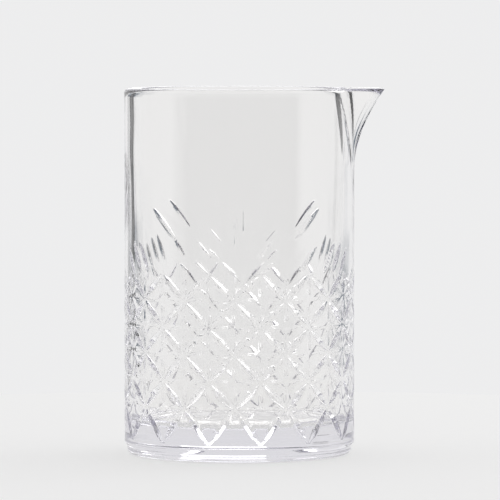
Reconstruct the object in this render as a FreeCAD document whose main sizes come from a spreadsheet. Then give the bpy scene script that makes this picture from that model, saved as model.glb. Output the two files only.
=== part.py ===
"""Lipped mixing glass in cut pressed glass, as a parametric FreeCAD document.

The glass is one solid. Its frame has +Z up along the axis of the glass, the origin at the centre
of the ring that it stands on, and the pouring lip towards +X.
"""

import FreeCAD
import Part
import math
import os
import Sketcher

GLASS_SIZES = {
    "outer_radius": 47.5,
    "glass_height": 151.0,
    "mouth_radius": 43.5,
    "land_bottom": 122.0,
    "floor_radius": 41.0,
    "floor_corner": 5.0,
    "floor_height": 13.0,
    "foot_radius": 46.4,
    "foot_height": 3.6,
    "foot_step": 1.2,
    "heel_round": 2.2,
    "bearing_radius": 38.0,
    "recess_depth": 0.8,
    "recess_slope": 2.0,
}
LIP_SIZES = {
    "root_height": 118.0,
    "rise_power": 1.85,
    "root_sink": 0.4,
    "lip_reach": 12.9,
    "lip_root_width": 7.0,
    "lip_mouth_width": 39.0,
    "lip_nose": 4.5,
    "lip_back": 38.0,
    "channel_reach": 14.0,
    "channel_root_width": 5.0,
    "channel_mouth_width": 33.0,
    "channel_nose": 3.0,
    "channel_back": 34.0,
}
CUT_SIZES = {
    "diamond_count": 14,
    "half_pitch": 11.0,
    "first_row": 21.5,
    "diagonal_rows": 5,
    "diagonal_lean": 44.1,
    "base_middle": 14.5,
    "base_lean": 37.3,
    "wheel_half_angle": 50.0,
    "profile_margin": 1.0,
    "diagonal_depth": 1.1,
    "diagonal_wheel": 26.5,
    "base_depth": 1.2,
    "base_wheel": 44.0,
    "fine_depth": 0.6,
    "fine_wheel": 33.0,
    "ray_depth": 1.0,
    "ray_wheel": 29.0,
    "long_depth": 1.1,
    "long_wheel": 84.0,
}

LEVEL_SHARES = (0.0, 0.25, 0.5, 0.75, 1.0)
FRONT_COLUMN = -90.0
WHEEL_REACH = 1.6
CUT_SHARE = 0.005

# Rays of a fan: the wheel that cuts the ray, degrees from the middle of the fan, height of the
# middle of the cut, and how far the cut leans away from upright. All but the first lean outwards.
FAN_RAYS = [
    ("fine", 0.0, 93.0, 0.0),
    ("fine", 15.0, 86.5, 42.0),
    ("fine", -15.0, 86.5, -42.0),
    ("fine", 17.0, 79.5, 49.0),
    ("fine", -17.0, 79.5, -49.0),
    ("long", 37.5, 96.5, 44.0),
    ("long", -37.5, 96.5, -44.0),
    ("ray", 38.0, 82.0, 38.0),
    ("ray", 52.5, 82.5, 28.0),
    ("ray", -52.5, 82.5, -28.0),
    ("ray", 58.5, 82.0, 28.0),
    ("ray", -58.5, 82.0, -28.0),
    ("ray", 65.0, 80.0, 30.0),
    ("ray", -65.0, 80.0, -30.0),
]


def size_sheet(doc, groups):
    """Spreadsheet with one alias for each driving size."""
    sheet = doc.addObject("Spreadsheet::Sheet", "Sizes")
    rows = [pair for group in groups for pair in group.items()]
    for row, (alias, value) in enumerate(rows, 1):
        sheet.set(f"A{row}", alias)
        sheet.set(f"B{row}", str(value))
        sheet.setAlias(f"B{row}", alias)


def origin_plane(body, role):
    """The body's own origin plane or axis that has this role."""
    return next(item for item in body.Origin.OriginFeatures if item.Role == role)


def flat_sketch(body, name, role):
    """Sketch that lies on one of the body's origin planes."""
    sketch = body.newObject("Sketcher::SketchObject", name)
    sketch.AttachmentSupport = [(origin_plane(body, role), "")]
    sketch.MapMode = "FlatFace"
    return sketch


def join_ends(sketch, count):
    """Makes the first count pieces of geometry one closed outline, each end on the next start."""
    for index in range(count):
        following = (index + 1) % count
        sketch.addConstraint(Sketcher.Constraint("Coincident", index, 2, following, 1))


def pin_point(sketch, index, end, across, up):
    """Places one end of a line by two expressions, measured from the sketch's origin."""
    for kind, expression in (("DistanceX", across), ("DistanceY", up)):
        geometry_point = sketch.getPoint(index, end)
        start = geometry_point.x if kind == "DistanceX" else geometry_point.y
        number = sketch.addConstraint(Sketcher.Constraint(kind, -1, 1, index, end, start))
        sketch.setExpression(f"Constraints[{number}]", expression)


def turned_outline(body, name, corners):
    """Half section on the XZ plane: a closed outline of lines through corners given as pairs of
    a rough place and the two expressions that fix it."""
    sketch = flat_sketch(body, name, "XZ_Plane")
    points = [FreeCAD.Vector(across, up, 0) for (across, up), _ in corners]
    for start, end in zip(points, points[1:] + points[:1]):
        sketch.addGeometry(Part.LineSegment(start, end))
    join_ends(sketch, len(points))
    for index, (_, (across, up)) in enumerate(corners):
        pin_point(sketch, index, 1, across, up)
    return sketch


def turn_solid(body, sketch, kind, label):
    """Revolution or Groove of a half section once around the axis of the glass."""
    feature = body.newObject(kind, label)
    feature.Profile = sketch
    feature.ReferenceAxis = (sketch, ["V_Axis"])
    feature.Angle = 360.0
    return feature


def add_outer_wall(body):
    """Full cylinder of the glass, with its foot ring and the shallow recess underneath."""
    size = GLASS_SIZES
    recess, outer, tall = size["recess_depth"], size["outer_radius"], size["glass_height"]
    foot, bearing = size["foot_radius"], size["bearing_radius"]
    step_top = size["foot_height"] + size["foot_step"]
    corners = [
        ((0, recess), ("0 mm", "Sizes.recess_depth * 1 mm")),
        ((bearing - size["recess_slope"], recess),
         ("(Sizes.bearing_radius - Sizes.recess_slope) * 1 mm", "Sizes.recess_depth * 1 mm")),
        ((bearing, 0), ("Sizes.bearing_radius * 1 mm", "0 mm")),
        ((foot, 0), ("Sizes.foot_radius * 1 mm", "0 mm")),
        ((foot, size["foot_height"]), ("Sizes.foot_radius * 1 mm", "Sizes.foot_height * 1 mm")),
        ((outer, step_top),
         ("Sizes.outer_radius * 1 mm", "(Sizes.foot_height + Sizes.foot_step) * 1 mm")),
        ((outer, tall), ("Sizes.outer_radius * 1 mm", "Sizes.glass_height * 1 mm")),
        ((0, tall), ("0 mm", "Sizes.glass_height * 1 mm")),
    ]
    sketch = turned_outline(body, "outer_outline", corners)
    return turn_solid(body, sketch, "PartDesign::Revolution", "outer_wall")


def add_cavity(body):
    """Inside of the glass: a flat floor, a slight taper and a straight land below the mouth."""
    size = GLASS_SIZES
    floor, mouth, top = size["floor_height"], size["mouth_radius"], size["glass_height"] + 2
    corners = [
        ((0, floor), ("0 mm", "Sizes.floor_height * 1 mm")),
        ((size["floor_radius"], floor),
         ("Sizes.floor_radius * 1 mm", "Sizes.floor_height * 1 mm")),
        ((mouth, size["land_bottom"]),
         ("Sizes.mouth_radius * 1 mm", "Sizes.land_bottom * 1 mm")),
        ((mouth, top), ("Sizes.mouth_radius * 1 mm", "Sizes.glass_height * 1 mm + 2 mm")),
        ((0, top), ("0 mm", "Sizes.glass_height * 1 mm + 2 mm")),
    ]
    sketch = turned_outline(body, "cavity_outline", corners)
    return turn_solid(body, sketch, "PartDesign::Groove", "cavity")


def round_circle(body, radius, height, alias, label):
    """Fillet of the circular edge that has this radius and height."""
    base = body.Tip
    for number, edge in enumerate(base.Shape.Edges, 1):
        circle = edge.Curve
        if circle.TypeId == "Part::GeomCircle" and abs(circle.Radius - radius) < 0.01:
            if abs(circle.Center.z - height) < 0.01:
                fillet = body.newObject("PartDesign::Fillet", label)
                fillet.Base = (base, [f"Edge{number}"])
                fillet.setExpression("Radius", f"Sizes.{alias} * 1 mm")
                body.Document.recompute()
                return fillet
    raise ValueError(f"{label}: no circle of radius {radius} at height {height}")


def lip_section(body, side_name, wall_alias, share):
    """Horizontal outline of the lip, or of the channel in it, at a share of the lip's height: two
    straight flanks that meet in a round nose, closed by a straight back inside the glass."""
    size = {**GLASS_SIZES, **LIP_SIZES}
    nose = size[wall_alias] - size["root_sink"]
    nose += (size[f"{side_name}_reach"] + size["root_sink"]) * share ** size["rise_power"]
    root, mouth = size[f"{side_name}_root_width"], size[f"{side_name}_mouth_width"]
    half_width = (root + (mouth - root) * share) / 2
    back, radius = size[f"{side_name}_back"], size[f"{side_name}_nose"]
    centre = nose - radius
    length = math.hypot(centre - back, half_width)
    lean = math.atan2(half_width, centre - back) - math.asin(radius / length)
    touch_x, touch_y = centre + radius * math.sin(lean), radius * math.cos(lean)
    corners = ((back, half_width), (back, -half_width), (touch_x, -touch_y), (nose, 0), (touch_x, touch_y))
    upper, lower, first_touch, tip, last_touch = (FreeCAD.Vector(x, y, 0) for x, y in corners)

    sketch = flat_sketch(body, f"{side_name}_level_{round(share * 100)}", "XY_Plane")
    rise = f"(Sizes.glass_height - Sizes.root_height) * {share}"
    sketch.setExpression("AttachmentOffset.Base.z", f"(Sizes.root_height + {rise}) * 1 mm")
    sketch.addGeometry(Part.LineSegment(upper, lower))
    sketch.addGeometry(Part.LineSegment(lower, first_touch))
    sketch.addGeometry(Part.Arc(first_touch, tip, last_touch))
    sketch.addGeometry(Part.LineSegment(last_touch, upper))
    sketch.addConstraint(Sketcher.Constraint("Coincident", 0, 2, 1, 1))
    sketch.addConstraint(Sketcher.Constraint("Coincident", 3, 2, 0, 1))
    sketch.addConstraint(Sketcher.Constraint("Tangent", 1, 2, 2, 1))
    sketch.addConstraint(Sketcher.Constraint("Tangent", 2, 2, 3, 1))
    sketch.addConstraint(Sketcher.Constraint("Symmetric", 0, 1, 0, 2, -1))
    sketch.addConstraint(Sketcher.Constraint("PointOnObject", 2, 3, -1))
    growth = f"(Sizes.{side_name}_reach + Sizes.root_sink) * {share} ^ Sizes.rise_power"
    widening = f"(Sizes.{side_name}_mouth_width - Sizes.{side_name}_root_width) * {share}"
    bindings = (
        (Sketcher.Constraint("DistanceX", -1, 1, 0, 1, back), f"Sizes.{side_name}_back"),
        (Sketcher.Constraint("DistanceY", 0, 2, 0, 1, 2 * half_width),
         f"Sizes.{side_name}_root_width + {widening}"),
        (Sketcher.Constraint("Radius", 2, radius), f"Sizes.{side_name}_nose"),
        (Sketcher.Constraint("DistanceX", -1, 1, 2, 3, centre),
         f"Sizes.{wall_alias} - Sizes.root_sink + {growth} - Sizes.{side_name}_nose"),
    )
    for constraint, expression in bindings:
        number = sketch.addConstraint(constraint)
        sketch.setExpression(f"Constraints[{number}]", f"({expression}) * 1 mm")
    return sketch


def loft_lip(body, side_name, wall_alias, kind):
    """Loft up the lip through its horizontal outlines, from its root to the rim."""
    outlines = [lip_section(body, side_name, wall_alias, share) for share in LEVEL_SHARES]
    loft = body.newObject(kind, side_name)
    loft.Profile = outlines[0]
    loft.Sections = [(outline, [""]) for outline in outlines[1:]]
    loft.Ruled = False
    return loft


def wheel_cutter(sizes, wheel_name, turn, height, lean):
    """Solid that a V-edged wheel sweeps where it is pressed into the wall: a triangle turned about
    the wheel's axle. The turn is about the glass, and the lean is away from upright, in degrees.
    The turn is long enough for both ends of the sweep to lie clear of the wall."""
    depth = getattr(sizes, f"{wheel_name}_depth")
    wheel = getattr(sizes, f"{wheel_name}_wheel")
    outer, margin = sizes.outer_radius, sizes.profile_margin
    half_width = (depth + margin) * math.tan(math.radians(sizes.wheel_half_angle))
    root = FreeCAD.Vector(outer - depth, 0, 0)
    above = FreeCAD.Vector(outer + margin, half_width, 0)
    below = FreeCAD.Vector(outer + margin, -half_width, 0)
    edge = Part.Face(Part.makePolygon([root, above, below, root]))
    axle, along = FreeCAD.Vector(outer - depth + wheel, 0, 0), FreeCAD.Vector(0, 1, 0)
    arc = 2 * WHEEL_REACH * math.degrees(math.acos(1 - depth / wheel))
    edge.rotate(axle, along, -arc / 2)
    cutter = edge.revolve(axle, along, arc)
    place = FreeCAD.Placement(FreeCAD.Vector(0, 0, height), FreeCAD.Rotation(turn, 0, lean))
    cutter.Placement = place.multiply(cutter.Placement)
    return cutter


def diagonal_pairs(sizes, wheel_name, first_node, middle, lean):
    """One row of leaves: from every node of the row, one leaf up to each side."""
    quarter = 90.0 / sizes.diamond_count
    cutters = []
    for column in range(int(sizes.diamond_count)):
        node = first_node + 4 * quarter * column
        for side in (1, -1):
            cutters.append(wheel_cutter(sizes, wheel_name, node + side * quarter, middle, -side * lean))
    return cutters


def lattice_cutters(sizes):
    """Leaves along both diagonals of the diamonds, row above row. The lowest row is longer and
    steeper than the others, so its flat triangles reach down to the foot."""
    half_diamond = 180.0 / sizes.diamond_count
    cutters = diagonal_pairs(
        sizes, "base", FRONT_COLUMN + half_diamond, sizes.base_middle, sizes.base_lean)
    for row in range(int(sizes.diagonal_rows)):
        middle = sizes.first_row + (row + 0.5) * sizes.half_pitch
        first_node = FRONT_COLUMN + (half_diamond if row % 2 else 0.0)
        cutters += diagonal_pairs(sizes, "diagonal", first_node, middle, sizes.diagonal_lean)
    return cutters


def fan_cutters(sizes):
    """Rays of the two fans above the lattice, one fan on each broad side of the glass."""
    return [
        wheel_cutter(sizes, wheel_name, fan_middle + turn, height, -lean)
        for fan_middle in (FRONT_COLUMN, FRONT_COLUMN + 180.0)
        for wheel_name, turn, height, lean in FAN_RAYS
    ]


def add_cut_glass(doc, blank):
    """The finished glass: the blank with the whole pattern cut into its wall in one operation,
    because nearly 200 separate grooves, each with a sketch, would take hours to recompute."""
    sizes = doc.getObject("Sizes")
    glass = doc.addObject("Part::Feature", "glass_body")
    glass.Label = "glass_body"
    glass.Shape = blank.Shape.cut(lattice_cutters(sizes) + fan_cutters(sizes))
    glass.Placement = FreeCAD.Placement()
    return glass


def check_document(doc, shapes):
    """Stops with a message if any object failed or a shape isn't one closed solid."""
    for item in doc.Objects:
        if "Invalid" in item.State or "Error" in item.State:
            raise ValueError(f"{item.Label} failed: {item.State}")
    for item in shapes:
        shape = item.Shape
        if shape.isNull() or not shape.isValid() or len(shape.Solids) != 1:
            raise ValueError(f"{item.Label} is not one valid solid")


def build_blank(doc):
    """The uncut glass as a PartDesign body: wall, base, lip, cavity and the channel in the lip."""
    body = doc.addObject("PartDesign::Body", "glass_blank")
    body.Label = "glass_blank"
    body.Placement = FreeCAD.Placement()
    size = GLASS_SIZES
    add_outer_wall(body)
    doc.recompute()
    round_circle(body, size["foot_radius"], 0.0, "heel_round", "heel")
    loft_lip(body, "lip", "outer_radius", "PartDesign::AdditiveLoft")
    doc.recompute()
    add_cavity(body)
    doc.recompute()
    round_circle(body, size["floor_radius"], size["floor_height"], "floor_corner", "floor_round")
    loft_lip(body, "channel", "mouth_radius", "PartDesign::SubtractiveLoft")
    doc.recompute()
    return body


def main():
    """Builds the glass, checks it and writes its STEP file."""
    doc = FreeCAD.newDocument("MixingGlass")
    size_sheet(doc, (GLASS_SIZES, LIP_SIZES, CUT_SIZES))
    doc.recompute()
    blank = build_blank(doc)
    glass = add_cut_glass(doc, blank)
    doc.recompute()
    check_document(doc, [blank, glass])
    removed = blank.Shape.Volume - glass.Shape.Volume
    if removed < CUT_SHARE * blank.Shape.Volume:
        raise ValueError(f"the cut pattern took only {removed:.0f} cubic millimetres")
    os.makedirs("parts", exist_ok=True)
    glass.Shape.exportStep("parts/glass_body.step")


main()
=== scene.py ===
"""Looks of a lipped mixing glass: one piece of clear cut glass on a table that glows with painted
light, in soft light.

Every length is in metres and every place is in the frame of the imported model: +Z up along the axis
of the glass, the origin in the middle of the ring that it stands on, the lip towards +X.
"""

import logging
import math
from dataclasses import dataclass, field
from enum import Enum

import bpy
import numpy as np
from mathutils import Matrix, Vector

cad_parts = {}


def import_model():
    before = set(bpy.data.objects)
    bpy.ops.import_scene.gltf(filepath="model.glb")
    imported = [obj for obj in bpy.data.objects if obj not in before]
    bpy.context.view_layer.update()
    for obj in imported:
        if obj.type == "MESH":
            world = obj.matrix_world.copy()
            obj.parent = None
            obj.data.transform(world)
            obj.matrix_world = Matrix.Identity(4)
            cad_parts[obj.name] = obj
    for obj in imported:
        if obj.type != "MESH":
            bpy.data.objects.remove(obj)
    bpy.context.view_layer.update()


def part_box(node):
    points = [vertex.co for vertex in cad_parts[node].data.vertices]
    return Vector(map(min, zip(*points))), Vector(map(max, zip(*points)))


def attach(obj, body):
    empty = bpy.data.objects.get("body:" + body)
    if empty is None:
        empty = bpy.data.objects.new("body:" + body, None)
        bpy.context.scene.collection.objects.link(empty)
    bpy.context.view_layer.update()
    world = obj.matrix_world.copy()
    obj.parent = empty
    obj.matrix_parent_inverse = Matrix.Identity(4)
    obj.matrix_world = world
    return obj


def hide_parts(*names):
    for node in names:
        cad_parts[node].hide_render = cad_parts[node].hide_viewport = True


LOG = logging.getLogger("mixing_glass")
MM = 0.001
FULL_TURN = 2.0 * math.pi


class Wheel(Enum):
    """Cutting wheels: depth of their cuts, wheel radius, and half angle of the wheel's edge."""

    DIAGONAL = (1.1 * MM, 26.5 * MM, math.radians(50.0))
    BASE = (1.2 * MM, 44.0 * MM, math.radians(50.0))
    LEVEL = (0.25 * MM, 48.0 * MM, math.radians(70.0))
    UPRIGHT = (0.25 * MM, 30.0 * MM, math.radians(70.0))
    FOOT = (0.3 * MM, 500.0 * MM, math.radians(50.0))
    FINE = (0.6 * MM, 33.0 * MM, math.radians(50.0))
    RAY = (1.0 * MM, 29.0 * MM, math.radians(50.0))
    LONG = (1.1 * MM, 84.0 * MM, math.radians(50.0))


@dataclass(frozen=True)
class CutLattice:
    """Pattern of leaf-shaped wheel cuts on the outside of the wall.

    Nodes lie on rows half a pitch apart, and every second row is turned by half a diamond. Each cut
    is a V groove that is deepest in its middle and runs out to nothing at both ends.
    """

    radius: float
    columns: int = 14
    half_pitch: float = 11.0 * MM
    first_row: float = 21.5 * MM
    front: float = -0.5 * math.pi
    diagonal_lean: float = math.radians(44.1)
    diagonal_rows: int = 5
    star_rows: int = 5
    base_middle: float = 14.5 * MM
    base_lean: float = math.radians(37.3)
    foot_line: float = 7.4 * MM
    fan_rays: tuple[tuple[Wheel, float, float, float], ...] = (
        (Wheel.FINE, 0.0, 93.0, 0.0),
        (Wheel.FINE, 15.0, 86.5, 42.0),
        (Wheel.FINE, -15.0, 86.5, -42.0),
        (Wheel.FINE, 17.0, 79.5, 49.0),
        (Wheel.FINE, -17.0, 79.5, -49.0),
        (Wheel.LONG, 37.5, 96.5, 44.0),
        (Wheel.LONG, -37.5, 96.5, -44.0),
        (Wheel.RAY, 38.0, 82.0, 38.0),
        (Wheel.RAY, 52.5, 82.5, 28.0),
        (Wheel.RAY, -52.5, 82.5, -28.0),
        (Wheel.RAY, 58.5, 82.0, 28.0),
        (Wheel.RAY, -58.5, 82.0, -28.0),
        (Wheel.RAY, 65.0, 80.0, 30.0),
        (Wheel.RAY, -65.0, 80.0, -30.0),
    )

    @property
    def quarter(self) -> float:
        """Angle of a quarter of a diamond's width."""
        return FULL_TURN / (4 * self.columns)

    def leaf_length(self, wheel: Wheel, lean: float) -> float:
        """Length of a cut: where the wheel's circle meets the curve of the wall.

        Both are taken as parabolas, so the square of the length is eight depths divided by the sum
        of the wheel's curvature and the wall's curvature along the cut.

        Args:
            wheel: the wheel that makes the cut.
            lean: angle of the cut away from upright.

        Returns:
            The length from tip to tip.
        """
        depth, wheel_radius, _ = wheel.value
        wall_curvature = math.sin(lean) ** 2 / self.radius
        return math.sqrt(8.0 * depth / (1.0 / wheel_radius + wall_curvature))

    def leaves(self) -> list[tuple[float, float, float, float, float, float]]:
        """All the cuts.

        Returns:
            One tuple for each cut: its angle about the glass, its height, its lean towards
            negative angles, its length, its depth and the flare of its flanks.
        """
        found: list[tuple[float, float, float, float, float, float]] = []
        quarter, pitch, first = self.quarter, self.half_pitch, self.first_row

        def add(turn: float, height: float, lean: float, wheel: Wheel) -> None:
            """Adds one cut of a wheel."""
            depth, _, half_angle = wheel.value
            length = self.leaf_length(wheel, lean)
            found.append((turn, height, lean, length, depth, math.tan(half_angle)))

        for column in range(self.columns):
            node = self.front + 4 * quarter * column
            add(node, self.foot_line, 0.5 * math.pi, Wheel.FOOT)
            for side in (1, -1):
                place = node + (2 + side) * quarter
                add(place, self.base_middle, -side * self.base_lean, Wheel.BASE)
                for row in range(self.diagonal_rows):
                    middle = first + (row + 0.5) * pitch
                    place = node + (2 * (row % 2) + side) * quarter
                    add(place, middle, -side * self.diagonal_lean, Wheel.DIAGONAL)
        for column in range(2 * self.columns):
            turn = self.front + 2 * quarter * column
            for row in range(self.star_rows):
                level_height = first + row * pitch
                add(turn + quarter, level_height, 0.5 * math.pi, Wheel.LEVEL)
                add(turn, level_height + 0.5 * pitch, 0.0, Wheel.UPRIGHT)
        for fan_middle in (self.front, self.front + math.pi):
            for wheel, turn, height, lean in self.fan_rays:
                place = fan_middle + math.radians(turn)
                add(place, height * MM, -math.radians(lean), wheel)
        return found

    def snapped(
        self, turn: np.ndarray, height: np.ndarray, reach: float
    ) -> tuple[np.ndarray, np.ndarray]:
        """Moves grid points that lie near a cut's middle line or outline onto it.

        In a cut's own directions, s along and t across, its half width is w = depth times the
        tangent of the half angle times (1 - (2 s / length) squared). A point with t nearer than
        reach to 0 gets t = 0, and one with t nearer than reach to w or -w gets that value.

        Args:
            turn: angles of the grid points.
            height: heights of the grid points.
            reach: furthest that a point may move.

        Returns:
            The new angles and heights.
        """
        turn, height = turn.copy(), height.copy()
        free = np.ones(turn.shape, bool)
        for place, middle, lean, length, depth, flare in self.leaves():
            arc = self.radius * _wrapped(turn - place)
            rise = height - middle
            along = -math.sin(lean) * arc + math.cos(lean) * rise
            across = math.cos(lean) * arc + math.sin(lean) * rise
            half_width = depth * flare * (1.0 - (2.0 * along / length) ** 2)
            inside = free & (np.abs(along) < 0.5 * length) & (np.abs(across) < half_width + reach)
            to_middle = np.abs(across)
            to_edge = np.abs(np.abs(across) - half_width)
            goal = np.where(to_middle <= to_edge, 0.0, np.sign(across) * half_width)
            moved = inside & (np.minimum(to_middle, to_edge) < reach)
            shift = np.where(moved, goal - across, 0.0)
            turn += math.cos(lean) * shift / self.radius
            height += math.sin(lean) * shift
            free &= ~moved
        return turn, height

    def depth(self, turn: np.ndarray, height: np.ndarray) -> np.ndarray:
        """Depth of the wall's surface below the uncut cylinder.

        The largest, over all cuts, of depth times (1 - (2 s / length) squared) minus the distance
        across divided by the tangent of the half angle, and never below zero.

        Args:
            turn: angles about the axis.
            height: heights above the base.

        Returns:
            Depths, as an array of the same shape.
        """
        result = np.zeros(turn.shape)
        for place, middle, lean, length, depth, flare in self.leaves():
            arc = self.radius * _wrapped(turn - place)
            rise = height - middle
            along = -math.sin(lean) * arc + math.cos(lean) * rise
            across = math.cos(lean) * arc + math.sin(lean) * rise
            here = depth * (1.0 - (2.0 * along / length) ** 2) - np.abs(across) / flare
            np.maximum(result, np.where(np.abs(along) < 0.5 * length, here, 0.0), out=result)
        return result


def _wrapped(angle: np.ndarray) -> np.ndarray:
    """Angles brought into the range from minus half a turn to half a turn."""
    return (angle + math.pi) % FULL_TURN - math.pi


@dataclass(frozen=True)
class PouringLip:
    """Lip drawn out of the rim towards +X.

    It reaches out by the reach times the share of its height to a power, and that reach fades with
    the angle from the lip's middle as (1 - x squared) squared, where x is that angle divided by the
    half angle that the lip spans at that height.
    """

    reach: float = 12.9 * MM
    root_height: float = 118.0 * MM
    rim_height: float = 151.0 * MM
    power: float = 1.85
    root_span: float = math.radians(6.0)
    rim_span: float = math.radians(25.0)
    span_power: float = 1.2
    thinning: float = 1.1 * MM

    def nearness(self, turn: np.ndarray) -> np.ndarray:
        """Nearness to the lip's nose along the rim.

        Args:
            turn: angles about the axis.

        Returns:
            Shares from 0 beside the lip to 1 at its nose.
        """
        x = np.clip(np.abs(_wrapped(turn)) / self.rim_span, 0.0, 1.0)
        return (1.0 - x**2) ** 2

    def bulge(self, turn: np.ndarray, height: np.ndarray, inner: bool) -> np.ndarray:
        """How far the wall is drawn outwards.

        Args:
            turn: angles about the axis.
            height: heights above the base.
            inner: True for the inside of the wall, which moves a little more, so the lip is thin.

        Returns:
            The outward shift, as an array of the same shape.
        """
        share = np.clip(
            (height - self.root_height) / (self.rim_height - self.root_height), 0.0, None
        )
        span = self.root_span + (self.rim_span - self.root_span) * share**self.span_power
        x = np.clip(np.abs(_wrapped(turn)) / span, 0.0, 1.0)
        reach = self.reach + (self.thinning if inner else 0.0)
        return reach * share**self.power * (1.0 - x**2) ** 2


@dataclass(frozen=True)
class ClearGlass:
    """Clear fire-polished glass with the faint waviness of a pressed wall.

    The cut zone is slightly hazy: its roughness varies between the smoothest and the roughest with
    noise. Above the haze's top, only the clear share of that roughness is left.
    """

    name: str = "clear_glass"
    ior: float = 1.5
    tint: tuple[float, float, float, float] = (0.998, 0.995, 0.987, 1.0)
    depth_colour: tuple[float, float, float, float] = (0.94, 0.9375, 0.957, 1.0)
    depth_density: float = 30.0
    smoothest: float = 0.02
    roughest: float = 0.07
    clear_share: float = 0.1
    haze_scale: float = 84.0
    haze_detail: float = 4.0
    haze_none: float = 0.35
    haze_full: float = 0.75
    haze_top: float = 100.0 * MM
    haze_fade: float = 20.0 * MM
    wave_scale: float = 28.0
    wave_detail: float = 1.0
    wave_depth: float = 0.6 * MM
    wave_strength: float = 0.5

    def material(self) -> bpy.types.Material:
        """Builds the material: roughness and a low bump vary with noise over the object.

        Returns:
            The new material.
        """
        made = bpy.data.materials.new(self.name)
        made.use_nodes = True
        nodes, links = made.node_tree.nodes, made.node_tree.links
        shader = nodes["Principled BSDF"]
        shader.inputs["Base Color"].default_value = self.tint
        shader.inputs["Transmission Weight"].default_value = 1.0
        shader.inputs["IOR"].default_value = self.ior

        soak = nodes.new("ShaderNodeVolumeAbsorption")
        soak.inputs["Color"].default_value = self.depth_colour
        soak.inputs["Density"].default_value = self.depth_density
        links.new(soak.outputs["Volume"], nodes["Material Output"].inputs["Volume"])

        place = nodes.new("ShaderNodeTexCoord")
        haze = nodes.new("ShaderNodeTexNoise")
        haze.inputs["Scale"].default_value = self.haze_scale
        haze.inputs["Detail"].default_value = self.haze_detail
        links.new(place.outputs["Object"], haze.inputs["Vector"])
        spread = nodes.new("ShaderNodeMapRange")
        spread.inputs["From Min"].default_value = self.haze_none
        spread.inputs["From Max"].default_value = self.haze_full
        spread.inputs["To Min"].default_value = self.smoothest
        spread.inputs["To Max"].default_value = self.roughest
        links.new(haze.outputs["Fac"], spread.inputs["Value"])
        split = nodes.new("ShaderNodeSeparateXYZ")
        links.new(place.outputs["Object"], split.inputs["Vector"])
        fade = nodes.new("ShaderNodeMapRange")
        fade.interpolation_type = "SMOOTHSTEP"
        fade.inputs["From Min"].default_value = self.haze_top - self.haze_fade
        fade.inputs["From Max"].default_value = self.haze_top
        fade.inputs["To Min"].default_value = 1.0
        fade.inputs["To Max"].default_value = self.clear_share
        links.new(split.outputs["Z"], fade.inputs["Value"])
        product = nodes.new("ShaderNodeMath")
        product.operation = "MULTIPLY"
        links.new(spread.outputs["Result"], product.inputs[0])
        links.new(fade.outputs["Result"], product.inputs[1])
        links.new(product.outputs["Value"], shader.inputs["Roughness"])

        wave = nodes.new("ShaderNodeTexNoise")
        wave.inputs["Scale"].default_value = self.wave_scale
        wave.inputs["Detail"].default_value = self.wave_detail
        links.new(place.outputs["Object"], wave.inputs["Vector"])
        bump = nodes.new("ShaderNodeBump")
        bump.inputs["Strength"].default_value = self.wave_strength
        bump.inputs["Distance"].default_value = self.wave_depth
        links.new(wave.outputs["Fac"], bump.inputs["Height"])
        links.new(bump.outputs["Normal"], shader.inputs["Normal"])
        return made


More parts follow.
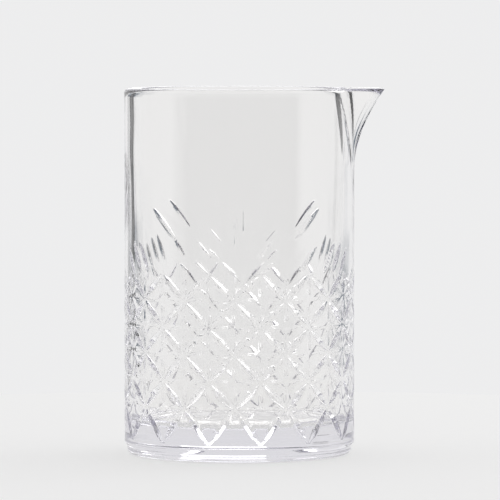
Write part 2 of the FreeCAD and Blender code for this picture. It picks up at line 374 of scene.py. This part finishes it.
@dataclass
class MixingGlass:
    """The glass itself: one closed surface, from under the base, up the outside, over the rim and
    down the inside to the middle of the floor."""

    node: str = "glass_body"
    around: int = 448
    outer_radius: float = 47.5 * MM
    height: float = 151.0 * MM
    mouth_radius: float = 43.5 * MM
    land_bottom: float = 122.0 * MM
    floor_radius: float = 41.0 * MM
    floor_height: float = 13.0 * MM
    floor_corner: float = 5.0 * MM
    rim_round: float = 1.9 * MM
    nose_round: float = 0.8 * MM
    foot_radius: float = 46.4 * MM
    foot_height: float = 3.6 * MM
    foot_step: float = 1.2 * MM
    heel_round: float = 2.2 * MM
    bearing_radius: float = 38.0 * MM
    recess_depth: float = 0.8 * MM
    recess_slope: float = 2.0 * MM
    cut_bottom: float = 5.6 * MM
    cut_top: float = 108.0 * MM
    rows_per_half_pitch: int = 16
    snap_share: float = 0.42
    heel_rows: int = 6
    plain_rows: int = 2
    drawn_rows: int = 16
    rim_rows: int = 11
    inner_drawn_rows: int = 13
    inner_wall_rows: int = 5
    corner_rows: int = 8
    recess_shares: tuple[float, ...] = (0.35, 0.7, 1.0)
    floor_shares: tuple[float, ...] = (0.6, 0.25)
    crease: float = math.radians(60.0)
    finish: ClearGlass = field(default_factory=ClearGlass)
    lip: PouringLip = field(default_factory=PouringLip)

    def __post_init__(self) -> None:
        """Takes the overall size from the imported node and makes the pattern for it."""
        low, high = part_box(self.node)
        self.outer_radius = 0.5 * (high[1] - low[1])
        self.height = high[2]
        self.lattice = CutLattice(self.outer_radius)

    def inner_radius(self, height: np.ndarray) -> np.ndarray:
        """Radius of the inside: a straight taper from the floor to the land below the mouth.

        Args:
            height: heights above the base.

        Returns:
            Radii, as an array of the same shape.
        """
        share = (height - self.floor_height) / (self.land_bottom - self.floor_height)
        share = np.clip(share, 0.0, 1.0)
        return self.floor_radius + (self.mouth_radius - self.floor_radius) * share

    def raised(self, turn: np.ndarray, height: np.ndarray) -> np.ndarray:
        """Heights near the lip, raised where the rim is less rounded, so both meet its edge.

        Args:
            turn: angles about the axis.
            height: heights up to the lower edge of the full rounding.

        Returns:
            The new heights, as an array of the same shape.
        """
        root = self.lip.root_height
        share = np.clip((height - root) / (self.height - self.rim_round - root), 0.0, 1.0)
        return height + (self.rim_round - self.nose_round) * self.lip.nearness(turn) * share

    def base_rows(self) -> np.ndarray:
        """Radius and height from the middle of the recess out to the top of the foot ring.

        Returns:
            An array of rows with two columns.
        """
        inner = self.bearing_radius - self.recess_slope
        recess = [(share * inner, self.recess_depth) for share in self.recess_shares]
        ring = [(self.bearing_radius, 0.0), (self.foot_radius - self.heel_round, 0.0)]
        turn = np.linspace(-0.5 * math.pi, 0.0, self.heel_rows + 1)[1:]
        heel = np.column_stack(
            (
                self.foot_radius - self.heel_round + self.heel_round * np.cos(turn),
                self.heel_round + self.heel_round * np.sin(turn),
            )
        )
        step = [
            (self.foot_radius, self.foot_height),
            (self.outer_radius, self.foot_height + self.foot_step),
        ]
        return np.vstack((recess, ring, heel, step))

    def wall_heights(self) -> np.ndarray:
        """Heights of the rows up the outside, close together over the cut pattern.

        Returns:
            Heights from just above the foot to just below the rim.
        """
        pitch, first = self.lattice.half_pitch, self.lattice.first_row
        step = pitch / self.rows_per_half_pitch
        start = first - step * math.floor((first - self.cut_bottom) / step)
        cut = np.arange(start, self.cut_top, step)
        plain = np.linspace(cut[-1], self.lip.root_height, self.plain_rows + 2)[1:-1]
        rim_foot = self.height - self.rim_round
        drawn = np.linspace(self.lip.root_height, rim_foot, self.drawn_rows)
        return np.concatenate((cut, plain, drawn))

    def inside_rows(self) -> np.ndarray:
        """Radius and height down the inside, from below the rim to near the middle of the floor.

        Returns:
            An array of rows with two columns.
        """
        root, rim_foot = self.lip.root_height, self.height - self.rim_round
        corner_top = self.floor_height + self.floor_corner
        drawn = np.linspace(rim_foot, root, self.inner_drawn_rows + 1)[1:]
        wall = np.linspace(root, corner_top, self.inner_wall_rows + 1)[1:]
        heights = np.concatenate((drawn, wall))
        down = np.column_stack((self.inner_radius(heights), heights))
        turn = np.linspace(0.0, 0.5 * math.pi, self.corner_rows + 1)[1:]
        middle = self.inner_radius(np.array(corner_top)) - self.floor_corner
        corner = np.column_stack(
            (
                middle + self.floor_corner * np.cos(turn),
                corner_top - self.floor_corner * np.sin(turn),
            )
        )
        floor = [(middle * share, self.floor_height) for share in self.floor_shares]
        return np.vstack((down, corner, floor))

    def grid(self) -> tuple[np.ndarray, np.ndarray, np.ndarray]:
        """Places every point of the surface.

        The angle is the first parameter and the path from the base to the floor is the second. The
        outside is the cylinder less the depth of the cuts plus the lip's bulge. The rim is half an
        ellipse between the outside and the inside, and the inside is a turned outline plus the
        lip's bulge.

        Returns:
            Angles, radii and heights, each an array of rows by points around.
        """
        spread = np.linspace(0.0, FULL_TURN, self.around, endpoint=False) + self.lattice.front
        base = self.base_rows()
        wall = self.wall_heights()
        inside = self.inside_rows()
        rim_turn = np.linspace(0.0, math.pi, self.rim_rows)

        wall_turn = np.broadcast_to(spread, (len(wall), self.around))
        wall_height = np.broadcast_to(wall[:, None], wall_turn.shape)
        reach = self.snap_share * self.lattice.half_pitch / self.rows_per_half_pitch
        turn, height = self.lattice.snapped(wall_turn, wall_height, reach)
        height = self.raised(turn, height)
        radius = self.outer_radius - self.lattice.depth(turn, height)
        radius = radius + self.lip.bulge(turn, height, inner=False)

        def level(rows: np.ndarray) -> tuple[np.ndarray, np.ndarray, np.ndarray]:
            """Turned rows as angles, radii and heights."""
            shape = (len(rows), self.around)
            return (
                np.broadcast_to(spread, shape),
                np.broadcast_to(rows[:, :1], shape),
                np.broadcast_to(rows[:, 1:], shape),
            )

        rounding = self.rim_round + (self.nose_round - self.rim_round) * self.lip.nearness(spread)
        rim_height = self.height - rounding * (1.0 - np.sin(rim_turn)[:, None])
        rim_around = np.broadcast_to(spread, rim_height.shape)
        outside = self.outer_radius + self.lip.bulge(rim_around, rim_height, inner=False)
        within = self.mouth_radius + self.lip.bulge(rim_around, rim_height, inner=True)
        share = 0.5 * (1.0 + np.cos(rim_turn))[:, None]
        rim_radius = within + (outside - within) * share

        inside_turn, inside_radius, inside_height = level(inside)
        inside_height = self.raised(inside_turn, inside_height)
        inside_radius = inside_radius + self.lip.bulge(inside_turn, inside_height, inner=True)
        base_turn, base_radius, base_height = level(base)
        return (
            np.vstack((base_turn, turn, rim_around[1:], inside_turn)),
            np.vstack((base_radius, radius, rim_radius[1:], inside_radius)),
            np.vstack((base_height, height, rim_height[1:], inside_height)),
        )

    def faces(self, points: np.ndarray, turn: np.ndarray, height: np.ndarray) -> np.ndarray:
        """Triangles of the grid, each quad split along the diagonal that fits the cuts better.

        For both diagonals, the depth of the cuts at the diagonal's middle is compared with the mean
        depth at its ends, and the diagonal with the smaller difference is kept.

        Args:
            points: numbers of the grid points, an array of rows by points around.
            turn: angles of the grid points.
            height: heights of the grid points.

        Returns:
            An array of triangles with three point numbers each.
        """
        low, up = points[:-1], points[1:]
        a, b = low, np.roll(low, -1, axis=1)
        d, c = up, np.roll(up, -1, axis=1)
        flat_turn, flat_height = turn.ravel(), height.ravel()

        def error(first: np.ndarray, second: np.ndarray) -> np.ndarray:
            """Difference between the surface and a straight diagonal, at its middle."""
            half = 0.5 * _wrapped(flat_turn[second] - flat_turn[first])
            middle = flat_turn[first] + half
            rise = 0.5 * (flat_height[first] + flat_height[second])
            depth = self.lattice.depth
            ends = 0.5 * (
                depth(flat_turn[first], flat_height[first])
                + depth(flat_turn[second], flat_height[second])
            )
            return np.abs(depth(middle, rise) - ends)

        outside = np.zeros(a.shape, bool)
        rows = slice(len(self.base_rows()), len(self.base_rows()) + len(self.wall_heights()) - 1)
        outside[rows] = error(a[rows], c[rows]) <= error(b[rows], d[rows])
        along = np.where(outside[..., None], np.stack((a, b, c), -1), np.stack((a, b, d), -1))
        other = np.where(outside[..., None], np.stack((a, c, d), -1), np.stack((b, c, d), -1))
        return np.concatenate((along.reshape(-1, 3), other.reshape(-1, 3)))

    def build(self) -> bpy.types.Object:
        """Makes the glass as one closed mesh, dresses it and lets it stand for its CAD node.

        Returns:
            The finished piece.
        """
        turn, radius, height = self.grid()
        rows, around = turn.shape
        points = np.arange(rows * around).reshape(rows, around)
        places = np.column_stack(
            (
                (radius * np.cos(turn)).ravel(),
                (radius * np.sin(turn)).ravel(),
                height.ravel(),
            )
        )
        under, floor = rows * around, rows * around + 1
        poles = np.array(((0.0, 0.0, self.recess_depth), (0.0, 0.0, self.floor_height)))
        places = np.vstack((places, poles))
        first, last = points[0], points[-1]
        below = np.column_stack((np.full(around, under), np.roll(first, -1), first))
        above = np.column_stack((np.full(around, floor), last, np.roll(last, -1)))
        faces = np.vstack((self.faces(points, turn, height), below, above))

        mesh = bpy.data.meshes.new("glass_wall")
        mesh.from_pydata(places, [], faces)
        mesh.validate()
        mesh.polygons.foreach_set("use_smooth", np.ones(len(mesh.polygons), bool))
        mesh.set_sharp_from_angle(angle=self.crease)
        mesh.update()
        piece = bpy.data.objects.new("glass_wall", mesh)
        bpy.context.scene.collection.objects.link(piece)
        mesh.materials.append(self.finish.material())
        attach(piece, "root")
        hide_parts(self.node)
        LOG.info("glass wall: %d points, %d triangles", len(mesh.vertices), len(mesh.polygons))
        return piece


class Sky:
    """Short names for the nodes that make a background out of the direction of view."""

    def __init__(self, tree: bpy.types.NodeTree) -> None:
        """Splits the direction of view into its parts.

        Args:
            tree: node tree of the world.
        """
        self.nodes, self.links = tree.nodes, tree.links
        way = self.nodes.new("ShaderNodeTexCoord")
        split = self.nodes.new("ShaderNodeSeparateXYZ")
        self.links.new(way.outputs["Generated"], split.inputs["Vector"])
        self.part = split.outputs

    def feed(self, socket: bpy.types.NodeSocket, value: object) -> None:
        """Links a socket to another one, or sets it to a number or a colour.

        Args:
            socket: the input to fill.
            value: an output socket, a number or a colour of three numbers.
        """
        if isinstance(value, bpy.types.NodeSocket):
            self.links.new(value, socket)
        elif isinstance(value, tuple):
            socket.default_value = (*value, 1.0)
        else:
            socket.default_value = value

    def math(self, operation: str, *values: object) -> bpy.types.NodeSocket:
        """One step of arithmetic.

        Args:
            operation: name of the operation.
            values: sockets or numbers.

        Returns:
            The result's socket.
        """
        node = self.nodes.new("ShaderNodeMath")
        node.operation = operation
        for socket, value in zip(node.inputs, values):
            self.feed(socket, value)
        return node.outputs["Value"]

    def share(
        self, value: bpy.types.NodeSocket, none: float, full: float
    ) -> bpy.types.NodeSocket:
        """Smooth share from 0 where the value is none to 1 where it is full.

        Args:
            value: socket of the value.
            none: value at which the share is 0.
            full: value at which the share is 1.

        Returns:
            The share's socket.
        """
        node = self.nodes.new("ShaderNodeMapRange")
        node.interpolation_type = "SMOOTHSTEP"
        self.feed(node.inputs["Value"], value)
        self.feed(node.inputs["From Min"], min(none, full))
        self.feed(node.inputs["From Max"], max(none, full))
        self.feed(node.inputs["To Min"], 0.0 if none < full else 1.0)
        self.feed(node.inputs["To Max"], 1.0 if none < full else 0.0)
        return node.outputs["Result"]

    def mixed(
        self, share: bpy.types.NodeSocket, below: object, above: object
    ) -> bpy.types.NodeSocket:
        """Colour that goes from one to another with a share.

        Args:
            share: socket of the share of the second colour.
            below: first colour or its socket.
            above: second colour or its socket.

        Returns:
            The colour's socket.
        """
        node = self.nodes.new("ShaderNodeMix")
        node.data_type = "RGBA"
        colours = [socket for socket in node.inputs if socket.type == "RGBA"]
        self.feed(node.inputs["Factor"], share)
        self.feed(colours[0], below)
        self.feed(colours[1], above)
        return next(socket for socket in node.outputs if socket.type == "RGBA")

    def finish(self, colour: bpy.types.NodeSocket, strength: bpy.types.NodeSocket) -> None:
        """Sends the colour and its strength to the background.

        Args:
            colour: socket of the colour.
            strength: socket of the strength.
        """
        light = self.nodes["Background"]
        self.feed(light.inputs["Color"], colour)
        self.feed(light.inputs["Strength"], strength)


@dataclass(frozen=True)
class Softbox:
    """Soft rectangular lamp: where it hangs, its width and height, and its watts."""

    name: str
    place: tuple[float, float, float]
    size: tuple[float, float]
    power: float

    def hang(self, aim: Vector) -> None:
        """Hangs the lamp and turns it towards a point.

        Args:
            aim: the point that it faces.
        """
        data = bpy.data.lights.new(self.name, "AREA")
        data.shape = "RECTANGLE"
        data.size, data.size_y = self.size
        data.energy = self.power
        holder = bpy.data.objects.new(self.name, data)
        holder.location = self.place
        holder.rotation_euler = (aim - Vector(self.place)).to_track_quat("-Z", "Y").to_euler()
        bpy.context.scene.collection.objects.link(holder)


@dataclass
class Studio:
    """Round table that glows with painted light, pale surroundings with two dark areas low down,
    softboxes and camera.

    The sides of the surroundings are angles from straight behind the glass, towards +X, and their
    heights are the upward part of a direction of length one.
    """

    glass: MixingGlass
    distance: float = 1.95
    eye_height: float = 0.183
    swing: float = math.radians(2.1)
    aim_height: float = 0.084
    aim_right: float = 0.0044
    focal_length: float = 340.0
    backdrop_tone: tuple[float, float, float] = (0.85, 0.85, 0.855)
    room_tone: tuple[float, float, float] = (0.3, 0.3, 0.3)
    room_edge: float = math.radians(110.0)
    floor_edge: float = -0.15
    level_fade: float = 0.03
    soft_edge: float = math.radians(2.0)
    card_tone: tuple[float, float, float] = (0.03, 0.03, 0.03)
    card_side: float = math.radians(-36.0)
    card_half: float = math.radians(4.0)
    card_top: float = 0.0
    low_tone: tuple[float, float, float] = (0.08, 0.11, 0.15)
    low_side: float = math.radians(20.0)
    low_end: float = math.radians(62.0)
    low_top: float = -0.09
    low_bottom: float = -0.36
    low_fade: float = 0.04
    ceiling_low: float = 0.16
    ceiling_high: float = 0.36
    ceiling_gain: float = 1.15
    bounces: int = 28
    table_radius: float = 0.32
    table_gap: float = 0.2 * MM
    # The table's glow is painted light. Its even emission fills in the shade that the glass casts on
    # the table and under its base. The dim grey base colour keeps the glowing table as pale as the
    # backdrop.
    table_colour: tuple[float, float, float, float] = (0.3, 0.298, 0.296, 1.0)
    table_painted_glow: float = 0.606
    table_sides: int = 160
    softboxes: tuple[Softbox, ...] = (
        Softbox("back_softbox", (0.1, 1.4, 0.52), (0.8, 0.44), 1.6),
        Softbox("key_softbox", (1.1, 0.9, 0.8), (0.6, 0.6), 3.0),
    )

    def camera(self) -> None:
        """Stands the camera in front of the glass, a little above its rim."""
        right = Vector((math.cos(self.swing), math.sin(self.swing), 0.0))
        back = Vector((math.sin(self.swing), -math.cos(self.swing), 0.0))
        eye = back * self.distance + Vector((0.0, 0.0, self.eye_height))
        aim = right * self.aim_right + Vector((0.0, 0.0, self.aim_height))
        eye = eye + right * self.aim_right
        data = bpy.data.cameras.new("camera")
        data.lens = self.focal_length
        data.sensor_width = 36.0
        data.clip_end = 20.0
        holder = bpy.data.objects.new("camera", data)
        holder.location = eye
        holder.rotation_euler = (aim - eye).to_track_quat("-Z", "Y").to_euler()
        bpy.context.scene.collection.objects.link(holder)
        bpy.context.scene.camera = holder

    def table(self) -> None:
        """Lays the round table top under the glass: dim grey, with an even painted glow that fills
        the shade around and under the glass.
        """
        turn = np.linspace(0.0, FULL_TURN, self.table_sides, endpoint=False)
        rim = np.column_stack(
            (
                self.table_radius * np.cos(turn),
                self.table_radius * np.sin(turn),
                np.full(self.table_sides, -self.table_gap),
            )
        )
        mesh = bpy.data.meshes.new("table_top")
        mesh.from_pydata(rim, [], [tuple(range(self.table_sides))])
        top = bpy.data.objects.new("table_top", mesh)
        bpy.context.scene.collection.objects.link(top)
        paint = bpy.data.materials.new("table_paint_with_painted_glow")
        paint.use_nodes = True
        shader = paint.node_tree.nodes["Principled BSDF"]
        shader.inputs["Base Color"].default_value = self.table_colour
        shader.inputs["Specular IOR Level"].default_value = 0.0
        # Painted light: the table glows evenly, which fills the shade around and under the glass.
        shader.inputs["Emission Color"].default_value = (1.0, 1.0, 1.0, 1.0)
        shader.inputs["Emission Strength"].default_value = self.table_painted_glow
        mesh.materials.append(paint)

    def surroundings(self) -> None:
        """Light from all round, by direction.

        The backdrop and the floor all round are pale, and the room in front of the glass is dimmer.
        Low down behind the glass there is a dark blue grey band on both sides, and a narrow dark
        card stands on the left. The ceiling is a little brighter than the backdrop.
        """
        world = bpy.data.worlds.new("surroundings")
        world.use_nodes = True
        sky = Sky(world.node_tree)
        side = sky.math("ARCTAN2", sky.part["X"], sky.part["Y"])
        aside = sky.math("ABSOLUTE", side)
        from_card = sky.math("ABSOLUTE", sky.math("SUBTRACT", side, self.card_side))
        rise = sky.part["Z"]

        behind = sky.share(aside, self.room_edge, self.room_edge + 3.0 * self.soft_edge)
        over_floor = sky.share(rise, self.floor_edge, self.floor_edge + self.level_fade)
        tone = sky.mixed(
            sky.math("MULTIPLY", behind, over_floor), self.backdrop_tone, self.room_tone
        )
        lower = sky.share(rise, self.low_top, self.low_top - self.low_fade)
        upper = sky.share(rise, self.low_bottom, self.low_bottom + self.low_fade)
        low = sky.math("MULTIPLY", lower, upper)
        past = sky.share(aside, self.low_side, self.low_side + 2.0 * self.soft_edge)
        before = sky.share(aside, self.low_end, self.low_end - self.soft_edge)
        beside = sky.math("MULTIPLY", past, before)
        tone = sky.mixed(sky.math("MULTIPLY", low, beside), tone, self.low_tone)
        under = sky.share(rise, self.card_top + self.level_fade, self.card_top)
        under = sky.math("MULTIPLY", upper, under)
        within = sky.share(from_card, self.card_half + self.soft_edge, self.card_half)
        tone = sky.mixed(sky.math("MULTIPLY", under, within), tone, self.card_tone)
        above = sky.share(rise, self.ceiling_low, self.ceiling_high)
        gain = sky.math("MULTIPLY_ADD", above, self.ceiling_gain - 1.0, 1.0)
        sky.finish(tone, gain)
        bpy.context.scene.world = world

    def light_paths(self) -> None:
        """Lets light bounce often enough inside the cut wall, and keeps whites plain."""
        scene = bpy.context.scene
        scene.cycles.max_bounces = self.bounces
        scene.cycles.transmission_bounces = self.bounces
        scene.cycles.glossy_bounces = self.bounces
        scene.view_settings.view_transform = "Standard"

    def build(self) -> None:
        """Sets up the whole studio."""
        self.camera()
        self.table()
        self.surroundings()
        self.light_paths()
        for softbox in self.softboxes:
            softbox.hang(Vector((0.0, 0.0, 0.5 * self.glass.height)))
        LOG.info("studio: table, surroundings, lamps and camera")


def main() -> None:
    """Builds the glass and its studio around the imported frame."""
    logging.basicConfig(level=logging.INFO, format="%(message)s")
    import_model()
    glass = MixingGlass()
    glass.build()
    Studio(glass).build()
    LOG.info("sizes written")


if __name__ == "__main__":
    main()
